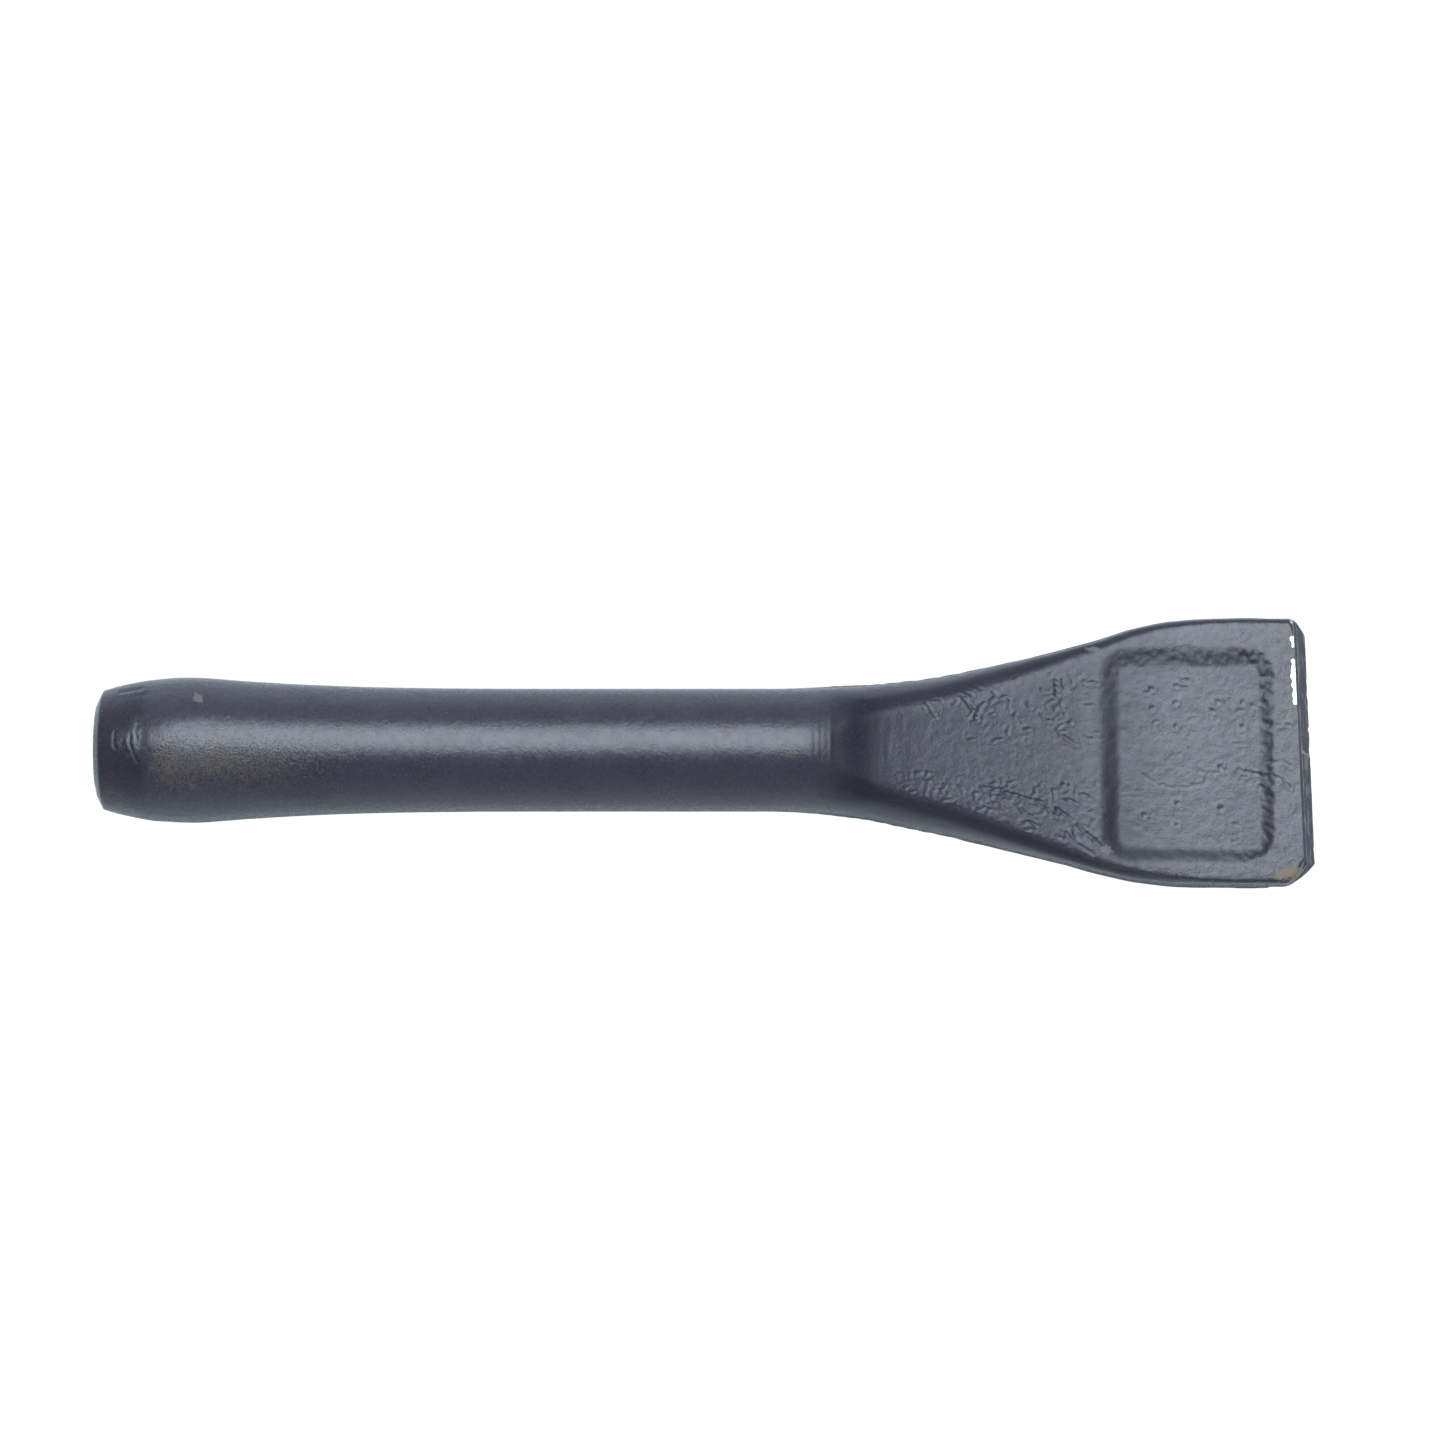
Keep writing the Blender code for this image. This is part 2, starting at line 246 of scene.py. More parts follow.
# %% [markdown]
# ## Rings and spokes
# The grid has one ring for each distance along the tool. The points of a ring are not spread
# evenly: the face carries all the fine detail, so it gets most of them. Each point is found by
# walking out from the middle along a spoke until the superellipse, the face or the bench stops it. Where
# two of them meet, the soft minimum of the two distances rounds the edge.

# %% Where the rings stand, and the spokes of each ring
FRONT, BACK = 160, 80                # steps over the face side, and over the back
LEFT_EDGE, RIGHT_EDGE, BACK_EDGE = 30.0, 80.0, 70.0    # how crisp each long edge is
HEAD_FINE, HEAD_END = 12.0, 46.0     # rings stand closest up to the first, and widest after the second
EDGE_ROUND = 0.4                     # the edge round the end of the lip


def body_rings():
    """Distances along the tool: fine at the head and on the blade, wider apart on the plain shank."""
    chamfer = np.linspace(0.0, CHAMFER, 5)[:-1]
    head = [np.linspace(CHAMFER, HEAD_FINE, 32)[:-1], np.linspace(HEAD_FINE, HEAD_END, 42)[:-1]]
    shank = np.linspace(HEAD_END, FLARE_START + 4.0, 46)[:-1]
    blade = np.linspace(FLARE_START + 4.0, SEAT_START, 246)
    lip = np.linspace(SEAT_START + 0.1, LENGTH - EDGE_ROUND, 24)
    edge = LENGTH - EDGE_ROUND * (1 - np.sin(np.linspace(0, math.pi / 2, 5)[1:]))
    return np.concatenate([chamfer, *head, shank, blade]), np.concatenate([lip, edge])


def half_loop(steps, side, wide, start, end):
    """Half a guide box: a share of the steps climbs each side from start to end, the rest run across."""
    t = steps[None, :]
    climb = np.clip(np.minimum(t, 1 - t) / side, 0.0, 1.0)
    return wide * np.clip((0.5 - t) / (0.5 - side), -1.0, 1.0), start + (end - start) * climb


def spokes(s):
    """Points on a guide box round each section: up the left side, over the face, down and under."""
    flat = between(FLARE_START, FLARE_START + 40.0, s)
    low = (AXIS - SHANK_RADIUS) * (1 - flat)
    front = half_loop(np.linspace(0.0, 1.0, FRONT + 1), 0.25 - 0.195 * flat, half_width(s),
                      SEAT_HEIGHT, face_height(s))
    back = half_loop(np.linspace(0.0, 1.0, BACK + 1)[1:-1], 0.30 - 0.06 * flat, -half_width(s),
                     SEAT_HEIGHT, low)
    return np.concatenate([front[0], back[0]], axis=1), np.concatenate([front[1], back[1]], axis=1)


def side_draft(y, rise):
    """How far the blade's side leans in above and below its widest line."""
    return np.where((y < 0) & (rise > 0), STEEP_DRAFT, SIDE_DRAFT) * np.abs(rise)


def superellipse_reach(s, across, up, wide):
    """(|across/w|^n + |up/h|^n)^(-1/n); n grows from 2 at the neck to 12 on the blade."""
    middle, scoop = middle_height(s), scoop_share(s)
    closed = face_height(s) + SHOULDER * between(0.0, 6.0, s - NECK)
    top = np.where(scoop > 0, closed, AXIS + head_radius(s)) - middle
    flattening = between(FLARE_START, FLARE_START + FLARE_LENGTH / 2, s)
    bottom = middle - AXIS + head_radius(s)
    bottom = bottom + (middle + UNDERCUT - bottom) * flattening
    n = 2.0 * 6.0 ** (scoop ** 1.25)
    return ((np.abs(across) / wide) ** n + (np.abs(up) / np.where(up > 0, top, bottom)) ** n) ** (-1 / n)


def section_points(s):
    """Walks out along each spoke to the superellipse, the scooped face or the bench."""
    s = s[:, None]
    middle, scoop = middle_height(s), scoop_share(s)
    guide_y, guide_z = spokes(s)
    turn = np.arctan2(guide_z - middle, guide_y)
    across, up = np.cos(turn), np.sin(turn)
    wide = half_width(s) - corner_loss(s, across)
    reach = superellipse_reach(s, across, up, wide)

    face = np.maximum((face_height(s) - middle) / np.maximum(up, 1e-3), 1.0)
    edge = np.where(across > 0, LEFT_EDGE, RIGHT_EDGE)
    crisp = BACK_EDGE + (edge - BACK_EDGE) * between(NECK, NECK + 35, s)
    reach = np.where((up > 0) & (scoop > 0), soft_least(reach, face, crisp), reach)
    bench = np.maximum(middle / np.maximum(-up, 1e-3), 1.0)
    reach = np.where((up < 0) & (s > FLARE_START), soft_least(reach, bench, BACK_EDGE), reach)

    y, rise = reach * across, reach * up
    y = y - scoop * side_draft(across, rise) * y / wide
    # two shallow hollows along the flare's right side
    fuller = 0.6 * bell(s - 150.0, 11.0) + 0.4 * bell(s - 187.0, 7.0)
    y = y + FLARE_SHIFT * np.sin(math.pi * scoop) ** 2 - fuller * between(0.0, 6.0, -y)
    return y, middle + rise


def end_slant(s, y, z):
    """Height times the lean, plus distance from the pivot times the skew, faded in over the tips' length."""
    slant = np.clip(1 - (LENGTH - s) / TIP_LENGTH, 0.0, 1.0)
    return slant * (z * END_LEAN + (y + SKEW_PIVOT) * END_SKEW)


before_seat, after_seat = body_rings()
print("rings:", len(before_seat) + len(after_seat), "points in each:", FRONT + BACK)

# %% [markdown]
# ## What the surface has been through
# A forging is never smooth. Scale leaves it wavy, the dies leave a raised line along both sides, and
# where the blade was drawn out wide the skin wrinkled. Each of those is a small height added to the
# plain surface. A height is a function of the place, so the same few lines serve the whole tool.
#
# A wrinkle is drawn as a stroke: the distance from every point to a short zigzag line goes through a
# bell curve, and a second bell, further out, raises the lips on both sides of the groove. Cracks beside
# the panel and the curved dents that a hammer left on the head are strokes too.

# %% Strokes: the wrinkles on the flare, the cracks and the dents
def distance_to_path(s, y, path):
    """Shortest distance in the face from each point to a line through the path's corners."""
    nearest = np.full(s.shape, 1e3)
    corners = np.array(path, dtype=float)
    for a, b in zip(corners[:-1], corners[1:]):
        run = b - a
        t = np.clip(((s - a[0]) * run[0] + (y - a[1]) * run[1]) / (run @ run), 0.0, 1.0)
        nearest = np.minimum(nearest, np.hypot(s - a[0] - t * run[0], y - a[1] - t * run[1]))
    return nearest


def stroke(s, y, path, depth, width):
    """A groove along a path, with a raised lip on each side."""
    away = distance_to_path(s, y, path)
    return depth * (0.45 * bell(away - 1.9 * width, width) - bell(away, width))


FOLDS = [                            # corners of the path as (along, across), then depth and width
    (((161.3, 9.9), (163.6, 6.9), (163.9, 5.9), (164.4, 5.2)), 0.16, 0.28),
    (((163.9, 6.0), (165.6, 8.6)), 0.16, 0.28),
    (((166.6, 8.7), (168.4, 9.6)), 0.12, 0.26),
    (((154.4, 8.9), (156.6, 5.4)), 0.10, 0.24),
    (((179.2, 12.8), (179.1, 9.9)), 0.16, 0.28),
    (((180.2, 13.0), (181.1, 11.0)), 0.10, 0.24),
    (((184.3, 12.6), (184.9, 11.0)), 0.10, 0.24),
    (((171.4, 6.4), (173.0, 4.6)), 0.08, 0.26),
    (((180.2, 4.4), (179.1, 3.4), (181.0, 1.9), (182.8, 1.0)), 0.12, 0.26),
    (((165.1, -7.2), (170.6, -8.4), (176.4, -10.0), (178.6, -12.4)), 0.12, 0.28),
    (((179.2, -11.2), (182.1, -13.4)), 0.14, 0.28),
    (((166.6, -11.2), (165.6, -14.0)), 0.12, 0.26),
    (((155.2, -6.2), (154.2, -10.0)), 0.12, 0.26),
    (((151.9, -7.8), (150.6, -10.6)), 0.08, 0.24),
    (((172.0, -11.0), (175.4, -13.6)), 0.10, 0.24),
    (((183.0, -14.0), (187.6, -18.6)), 0.14, 0.30),
    (((180.0, -15.4), (186.0, -19.8)), 0.10, 0.28),
    (((186.3, -13.4), (184.0, -16.6)), 0.10, 0.24),
]
CRACKS = [                           # in and round the panel
    (((195.2, -4.6), (198.0, -6.6), (201.6, -7.4), (204.8, -6.9), (207.0, -6.3), (207.6, -4.6),
      (211.8, -3.6)), 0.07, 0.20),
    (((213.0, -3.8), (215.4, -4.5), (219.6, -5.1), (221.8, -6.2), (222.8, -7.3)), 0.12, 0.22),
    (((219.2, 3.7), (220.6, 4.4), (222.9, 4.7)), 0.12, 0.20),
    (((218.4, -2.4), (221.2, -2.3), (223.0, -3.0)), 0.08, 0.20),
    (((201.6, 5.0), (205.2, 5.5)), 0.06, 0.20),
    (((212.4, 0.9), (214.4, 1.0)), 0.08, 0.20),
    (((215.0, 22.6), (214.2, 20.9)), 0.08, 0.22),
    (((191.0, -8.8), (193.0, -9.0), (195.2, -9.0)), 0.06, 0.20),
]
CRESCENTS = [                        # dents of glancing blows on the head
    (((4.5, 2.6), (4.2, 0.4), (4.6, -1.0)), 0.13, 0.20),
    (((7.4, 2.0), (7.2, 0.2), (8.0, -1.8), (8.6, -3.4)), 0.13, 0.20),
    (((8.6, 3.6), (8.2, 2.2), (8.5, 0.8)), 0.07, 0.24),
    (((6.0, 1.2), (5.8, -0.4)), 0.09, 0.18),
    (((4.6, -3.6), (5.0, -5.2)), 0.10, 0.20),
    (((5.0, 10.2), (8.8, 10.9)), 0.16, 0.40),
]


def random_folds(count, low, high, seed):
    """Short strokes with one bend, strewn over the part of the face between two corners."""
    dice = np.random.default_rng(seed)
    start = dice.uniform(low, high, (count, 2))
    turn = dice.uniform(0, math.pi, count)
    reach = dice.uniform(0.3, 1.1, count)
    bend = dice.uniform(-1.2, 1.2, count)
    first = start + reach[:, None] * np.stack([np.cos(turn), np.sin(turn)], axis=1)
    second = first + reach[:, None] * np.stack([np.cos(turn + bend), np.sin(turn + bend)], axis=1)
    depth = dice.uniform(0.05, 0.13, count)
    return [((a, b, c), d, 0.22) for a, b, c, d in zip(start, first, second, depth)]


# on the flare's right side near the neck, then near the blade, then on its left side, then in the panel
FOLDS += random_folds(44, (149, -12), (172, -5), 11) + random_folds(64, (166, -18), (187, -6), 12)
FOLDS += random_folds(60, (152, 1), (187, 14), 13) + random_folds(26, (191, -20), (219, 17), 14)
print("folds and cracks drawn on the face:", len(FOLDS) + len(CRACKS))

# %% [markdown]
# ## The stamped panel
# The sunken panel was struck with a punch while the steel was hot. Its floor is nearly flat. Its walls
# lean and are lumpy, because the metal tore a little as it was pushed down. The depth depends on the
# signed distance to a rounded rectangle: max(|x|-a, 0) and max(|y|-b, 0) give the distance to a box, and
# taking the corner radius off rounds it. A Boolean would leave a crisp edge here, and a struck panel has
# none. Its floor also has a few small round dents.

# %% How deep the panel is at each place
PANEL_MIDDLE = np.array([203.8, -1.2])
PANEL_HALF = np.array([14.7, 18.6])  # to the middle of its walls
PANEL_CORNER = 3.3
PANEL_WALL = 4.2                     # how far the wall leans
PANEL_DEPTH = 0.58
PANEL_TILT = 0.016                   # how much deeper it gets with each millimetre to the right
PUNCH_DOTS = [(197.0, 11.5), (197.0, 7.6), (201.6, 12.0), (201.6, 8.6), (201.6, 4.4), (201.6, -10.0),
              (201.6, -14.2), (209.4, 8.9), (214.0, 8.7), (214.0, 4.3), (209.8, -3.2), (209.8, -11.0),
              (195.4, -12.6)]


def near_front(s):
    """1 beside the panel's front wall, which is steeper and lumpier than the others, and 0 elsewhere."""
    return between(8.0, 13.0, s - PANEL_MIDDLE[0])


def panel_share(s, y):
    """How far down its wall a place is: 0 on the face, 1 on the floor of the panel."""
    place = np.stack([s, y, 0 * s], axis=-1)
    off = np.abs(np.stack([s, y], axis=-1) - PANEL_MIDDLE) - (PANEL_HALF - PANEL_CORNER)
    beyond = np.hypot(*np.moveaxis(np.maximum(off, 0.0), -1, 0)) + np.minimum(off.max(axis=-1), 0.0)
    inside = PANEL_CORNER - beyond + 0.30 * noise(place, 3.0, 21, 2)
    return np.clip(0.5 + inside / (PANEL_WALL - 0.8 * near_front(s)), 0.0, 1.0)


def panel_depth(s, y):
    """Depth of the panel below the face; it was struck deeper on its right side and at its front."""
    t = panel_share(s, y)
    place = np.stack([s, y, 0 * s], axis=-1)
    lumps = 0.07 * noise(place, 1.6, 31, 2) + 0.07 * noise(place, 0.8, 32) + 0.03 * noise(place, 0.45, 33)
    torn = 0.3 + 1.2 * near_front(s) + 0.7 * between(11.0, 16.0, y - PANEL_MIDDLE[1])
    deep = PANEL_DEPTH - PANEL_TILT * (y - PANEL_MIDDLE[1]) + 0.06 * between(-12.0, 14.0, s - PANEL_MIDDLE[0])
    return deep * t * t * (3 - 2 * t) + 4 * t * (1 - t) * torn * lumps


middle_depth = panel_depth(PANEL_MIDDLE[:1], PANEL_MIDDLE[1:])[0]
print("panel depth in its middle:", round(float(middle_depth), 2))

# %% [markdown]
# ## Adding the heights
# The heights are added along the surface's own direction, which comes from the grid: the cross
# product of the step to the next point of a ring and the step to the next ring. On the face they are
# added straight up or down instead, so the panel's walls keep their lean. At the end every point is held
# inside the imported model's box.

# %% Normals of a grid, and all the heights
def grid_normals(grid):
    """Cross product of the central differences along and around the grid, made one unit long."""
    around = np.roll(grid, -1, axis=1) - np.roll(grid, 1, axis=1)
    along = np.gradient(grid, axis=0)
    normal = np.cross(around, along)
    return normal / np.maximum(np.linalg.norm(normal, axis=-1, keepdims=True), 1e-9)


def face_height_change(s, y):
    """Waves, folds, cracks and the panel, as one height to add to the face."""
    place = np.stack([s, y, 0 * s], axis=-1)
    waves = 0.024 * noise(place, 5.5, 41) + 0.030 * noise(place, 1.1, 42, 2) + 0.012 * noise(place, 0.5, 46)
    comb = noise(np.stack([s, y / 9.0, 0 * s], axis=-1), 0.5, 43)       # drawn out across the face
    change = between(NECK + 4, NECK + 22, s) * waves + 0.045 * comb * bell(s - 146.0, 4.5) * bell(y, 7.0)
    s_bent, y_bent = s + 0.38 * noise(place, 1.1, 44, 2), y + 0.38 * noise(place, 1.1, 45, 2)
    for path, depth, width in FOLDS + CRACKS:
        change = change + stroke(s_bent, y_bent, path, depth, width)
    for dot_s, dot_y in PUNCH_DOTS:
        away = np.hypot(s_bent - dot_s, y_bent - dot_y)
        change = change + 0.06 * bell(away - 0.75, 0.25) - 0.13 * bell(away, 0.40)
    return change - panel_depth(s, y)


def scale_and_die_line(s, place, upright):
    """Scale left the skin wavy, more so on the flare's sides, and the dies' meeting line stands proud."""
    skin = 0.022 * noise(place, 7.0, 51, 2) + 0.010 * noise(place, 1.8, 52)
    skin = skin + 0.06 * noise(place, 4.0, 53) * between(FLARE_START, NECK + 10, s) * (1 - upright)
    away = place[..., 2] - middle_height(s) + 0.2 * noise(place, 6.0, 54)
    drawn = between(FLARE_START - 6, FLARE_START + 14, s) * between(LENGTH - 2, LENGTH - 15, s)
    return skin + 0.34 * bell(away, 0.45) * drawn * (np.abs(place[..., 1]) > SHANK_RADIUS / 2)


def neck_marks(s, y):
    """Three fine ribs where the shank ends, and the dip in which the scoop starts."""
    ribs = 0.07 * (bell(s - 133.2, 0.20) + bell(s - 134.5, 0.20) + 0.8 * bell(s - 135.6, 0.20))
    dip = between(131.6, 138.0, s) * between(NECK + 14, NECK + 2, s)
    return ribs * bell(y - 0.6, 4.6) - 0.62 * dip * bell(y, 8.0)


def head_marks(s, y):
    """A shallow hollow across the dome, and the curved dents of glancing blows."""
    marks = -0.13 * bell(s - 9.4, 1.4) * bell(y - 2.0, 6.0)
    for path, depth, width in CRESCENTS:
        marks = marks + stroke(np.broadcast_to(s, y.shape), y, path, depth, width)
    return marks


def roughen(grid, s):
    """Adds the face's heights straight up, then the others along the surface's own direction."""
    normal = grid_normals(grid)
    x, y, z = np.moveaxis(grid, -1, 0)
    upright = between(0.80, 0.95, normal[..., 2]) * (s > NECK) * (z > SEAT_HEIGHT)
    grid[..., 2] += upright * face_height_change(x + LENGTH / 2, y)

    place = np.stack([x, y, z], axis=-1)
    over = between(AXIS, AXIS + 6, z)
    head = between(24.0, 12.0, s) * between(1.9, 2.6, s)
    beaten = 0.14 * np.maximum(noise(place, 1.6, 55, 2) - 0.2, 0.0) + 0.07 * noise(place, 4.5, 56)
    marks = over * (neck_marks(s, y) + head_marks(s, y)) - head * beaten
    skin = scale_and_die_line(s, place, upright) + marks
    struck = 0.12 * noise(place, 2.6, 57, 2) * (s < 0.05)
    grid = grid + skin[..., None] * normal
    grid[..., 0] += struck
    return np.clip(grid, cad_low, cad_high)


# %% [markdown]
# ## Building the forged body
# The rings are stacked into one array, and each quad joins two neighbouring points of one ring to the
# same two of the next. The middle of the striking face ends in a single pole. At the working end the
# lower side of each ring jumps up to the roof of the seat, so the skin forms a step, and a last patch
# closes the end of the lip. The result has no holes and no loose edges.

# %% The grid of the forged body
def body_grid():
    """Disc, head, shank, flare, blade, seat wall and lip: rings times points times three."""
    disc = np.linspace(0.15, 1.0, 6)[:-1]
    s = np.concatenate([before_seat, after_seat])
    y, z = section_points(s)
    y_disc = disc[:, None] * y[0]
    z_disc = AXIS + disc[:, None] * (z[0] - AXIS)

    lip = np.arange(len(s)) >= len(before_seat)
    z[lip, 0] = z[lip, FRONT] = SEAT_HEIGHT
    t = np.linspace(0.0, 1.0, BACK + 1)[None, 1:-1]
    y[lip, FRONT + 1:] = y[lip, FRONT, None] * (1 - t) + y[lip, 0, None] * t
    z[lip, FRONT + 1:] = SEAT_HEIGHT

    s = np.concatenate([np.zeros(len(disc)), s])[:, None]
    y, z = np.concatenate([y_disc, y]), np.concatenate([z_disc, z])
    x = s - end_slant(s, y, z) - LENGTH / 2
    return np.stack([x, y, z], axis=-1), s


def ring_quads(rings, around):
    """Corner numbers of the quads between neighbouring rings, all the way round."""
    first = np.arange(rings - 1)[:, None] * around
    i = np.arange(around)[None, :]
    j = (i + 1) % around
    return np.stack([first + i, first + j, first + around + j, first + around + i], axis=-1).reshape(-1, 4)


def pole(start, around, tip, first_ring):
    """Triangles from the first or the last ring to a single point, turned so that they face outward."""
    i = start + np.arange(around)
    j = start + (np.arange(around) + 1) % around
    fan = (j, i, np.full(around, tip)) if first_ring else (i, j, np.full(around, tip))
    return np.stack(fan, axis=-1)


def end_patch(grid, start, new):
    """Closes the end of the lip: rows between its upper and its lower edge, then two-to-one triangles.

    The face side of a ring has twice as many steps as the back, so the lowest row meets the roof of the
    seat with three triangles for each step of the roof.
    """
    last = grid[-1]
    upper = last[:FRONT + 1]
    lower = np.concatenate([last[FRONT:], last[:1]])[::-1]
    ends = np.interp(np.linspace(0, 1, FRONT + 1), np.linspace(0, 1, BACK + 1), np.arange(BACK + 1.0))
    low_row = np.stack([np.interp(ends, np.arange(BACK + 1), lower[:, k]) for k in range(3)], axis=-1)
    share = np.linspace(0, 1, 8)[1:-1, None, None]
    rows = (upper * (1 - share) + low_row * share)[:, 1:-1]
    count = len(rows)
    index = np.empty((count + 1, FRONT + 1), dtype=int)
    index[0] = start + np.arange(FRONT + 1)
    index[1:, 1:-1] = new + np.arange(count * (FRONT - 1)).reshape(count, FRONT - 1)
    index[1:, 0], index[1:, -1] = index[0, 0], index[0, -1]
    a, b = index[:-1], index[1:]
    quads = np.stack([a[:, 1:-2], a[:, 2:-1], b[:, 2:-1], b[:, 1:-2]], axis=-1).reshape(-1, 4)
    near = np.stack([a[:, 0], a[:, 1], b[:, 1]], axis=-1)
    far = np.stack([a[:, -2], a[:, -1], b[:, -2]], axis=-1)
    roof = np.concatenate([index[0, -1:], start + FRONT + np.arange(1, BACK), index[0, :1]])[::-1]
    row, even = index[-1], np.arange(0, FRONT, 2)
    one = np.stack([row[even], row[even + 1], roof[even // 2]], axis=-1)
    two = np.stack([row[even + 1], roof[even // 2 + 1], roof[even // 2]], axis=-1)
    three = np.stack([row[even + 1], row[even + 2], roof[even // 2 + 1]], axis=-1)
    return rows.reshape(-1, 3), quads, np.concatenate([near, far, one[1:], two, three[:-1]])


def piece(name, points, faces, material, node, crease=50.0):
    """A mesh object from points in millimetres; it takes over from a plain solid of the frame."""
    mesh = bpy.data.meshes.new(name)
    mesh.from_pydata((points * MM).tolist(), [], [face for group in faces for face in group.tolist()])
    mesh.validate()
    mesh.shade_smooth()
    mesh.set_sharp_from_angle(angle=math.radians(crease))
    mesh.materials.append(material)
    made = bpy.data.objects.new(name, mesh)
    bpy.context.scene.collection.objects.link(made)
    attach(made, "root")
    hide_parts(node)
    print(f"{name}: {len(points)} points, {sum(len(group) for group in faces)} faces")
    return made


# %% [markdown]
# ## Shader nodes
# Each finish is a small tree of nodes. Patterns read the object's own coordinates, so the grain stays
# put when the tool moves. Where a finish depends on the history of the piece, such as rust near the
# head, the mesh carries a named value at each point, and an Attribute node reads it.

# %% Short ways of writing node trees
def node(tree, kind, feeds=None, values=None, **settings):
    """A new shader node; feeds joins other sockets to its inputs, and values fills in plain numbers."""
    made = tree.nodes.new("ShaderNode" + kind)
    for name, value in settings.items():
        setattr(made, name, value)
    for name, value in (values or {}).items():
        made.inputs[name].default_value = value
    for name, socket in (feeds or {}).items():
        tree.links.new(socket, made.inputs[name])
    return made


def new_finish(name, roughness, metallic):
    """A material with its tree, its shader and its object coordinates."""
    material = bpy.data.materials.new(name)
    material.use_nodes = True
    tree = material.node_tree
    shader = tree.nodes["Principled BSDF"]
    shader.inputs["Roughness"].default_value = roughness
    shader.inputs["Metallic"].default_value = metallic
    return material, tree, shader, node(tree, "TexCoord").outputs["Object"]


def grain(tree, place, scale, detail=3.0, roughness=0.5):
    """Noise with this many lumps to the metre."""
    made = node(tree, "TexNoise", {"Vector": place},
                {"Scale": scale, "Detail": detail, "Roughness": roughness})
    return made.outputs["Fac"]


def spread(tree, socket, low, high, out_low=0.0, out_high=1.0):
    """Maps one range of values onto another and holds it inside."""
    made = node(tree, "MapRange", {"Value": socket},
                {"From Min": low, "From Max": high, "To Min": out_low, "To Max": out_high})
    return made.outputs["Result"]


def plus(tree, first, second, operation="ADD"):
    """The sum of two sockets, or another operation on them."""
    return node(tree, "Math", {0: first, 1: second}, operation=operation).outputs[0]


def times(tree, first, number):
    """A socket times a plain number."""
    return node(tree, "Math", {0: first}, {1: number}, operation="MULTIPLY").outputs[0]


def blend_colour(tree, share, first, second):
    """Mixes two colours; each may be a socket or plain numbers."""
    made = node(tree, "Mix", {"Factor": share}, data_type="RGBA")
    for socket, value in ((made.inputs[6], first), (made.inputs[7], second)):
        if isinstance(value, tuple):
            socket.default_value = (*value, 1.0)
        else:
            tree.links.new(value, socket)
    return made.outputs[2]


def named_value(tree, name):
    """The value that the mesh carries under this name."""
    return node(tree, "Attribute", attribute_name=name).outputs["Fac"]


def bump(tree, shader, height, distance):
    """Tilts the shading by a height map; distance is its depth in millimetres."""
    made = node(tree, "Bump", {"Height": height}, {"Strength": 1.0, "Distance": distance * MM})
    tree.links.new(made.outputs["Normal"], shader.inputs["Normal"])


# %% [markdown]
# ## The enamel
# The tool was dipped in dark blue-grey enamel. It is glossy but not smooth: it follows the grain of the
# forging. Near the head, rust has pricked through it. On the edge of the lip it has chipped off and the
# bright steel shows, and melted braze ran out over one corner. Each of these is mixed over the last one,
# from the flecks in the enamel up to the bare steel.

# %% Dark enamel over forged steel
def enamel():
    """Blue-grey enamel with fine flecks, darkened by painted shade where the mesh carries it, and over it
    rust, scuffs, stray braze and bare steel.
    """
    material, tree, shader, place = new_finish("dark_enamel", 0.3, 0.0)
    links = tree.links
    shader.inputs["IOR"].default_value = 1.5
    matt_share = named_value(tree, "matt")
    fine = grain(tree, place, 2600.0, 2.0)
    peel = grain(tree, place, 700.0, 4.0, 0.6)
    cloud = grain(tree, place, 90.0, 3.0)
    colour = blend_colour(tree, spread(tree, cloud, 0.35, 0.65), (0.036, 0.034, 0.049), (0.045, 0.043, 0.060))
    warm, cool = spread(tree, fine, 0.56, 0.70), spread(tree, fine, 0.44, 0.30)
    colour = blend_colour(tree, times(tree, warm, 0.5), colour, (0.110, 0.078, 0.084))
    colour = blend_colour(tree, times(tree, cool, 0.5), colour, (0.012, 0.024, 0.040))
    # painted shade: the colour is darkened towards near-black where the mesh carries the painted shade value
    colour = blend_colour(tree, times(tree, named_value(tree, "painted_shade"), 0.5), colour, (0.012, 0.012, 0.018))

    speck = plus(tree, named_value(tree, "rust"), spread(tree, fine, 0.3, 0.7, -0.45, 0.45))
    rusty = spread(tree, speck, 0.35, 0.95)
    rust_tone = blend_colour(tree, spread(tree, peel, 0.4, 0.6), (0.062, 0.052, 0.054), (0.100, 0.074, 0.067))
    colour = blend_colour(tree, rusty, colour, rust_tone)

    ragged = spread(tree, grain(tree, place, 1500.0, 3.0), 0.3, 0.7, -0.35, 0.35)
    scuffed = spread(tree, plus(tree, named_value(tree, "scuff"), ragged), 0.5, 0.8)
    colour = blend_colour(tree, scuffed, colour, (0.15, 0.14, 0.135))
    brazed = spread(tree, plus(tree, named_value(tree, "braze"), ragged), 0.48, 0.62)
    colour = blend_colour(tree, brazed, colour, (0.20, 0.15, 0.092))
    bare = spread(tree, plus(tree, named_value(tree, "bare"), ragged), 0.48, 0.56)
    colour = blend_colour(tree, bare, colour, (0.62, 0.61, 0.60))
    links.new(colour, shader.inputs["Base Color"])

    links.new(bare, shader.inputs["Metallic"])
    gloss = plus(tree, spread(tree, peel, 0.3, 0.7, 0.22, 0.33), times(tree, matt_share, 0.33))
    spoiled = plus(tree, times(tree, rusty, 0.8), plus(tree, scuffed, brazed, "MAXIMUM"), "MAXIMUM")
    rough = node(tree, "Mix", {"Factor": spoiled, "A": gloss}, {"B": 0.6}).outputs["Result"]
    links.new(rough, shader.inputs["Roughness"])
    links.new(spread(tree, matt_share, 0.0, 1.0, 0.5, 0.1), shader.inputs["Specular IOR Level"])
    height = plus(tree, times(tree, peel, 0.8), times(tree, fine, 0.4))
    height = plus(tree, height, times(tree, rusty, 0.35))
    height = plus(tree, height, times(tree, bare, -0.4))
    bump(tree, shader, height, 0.085)
    return material


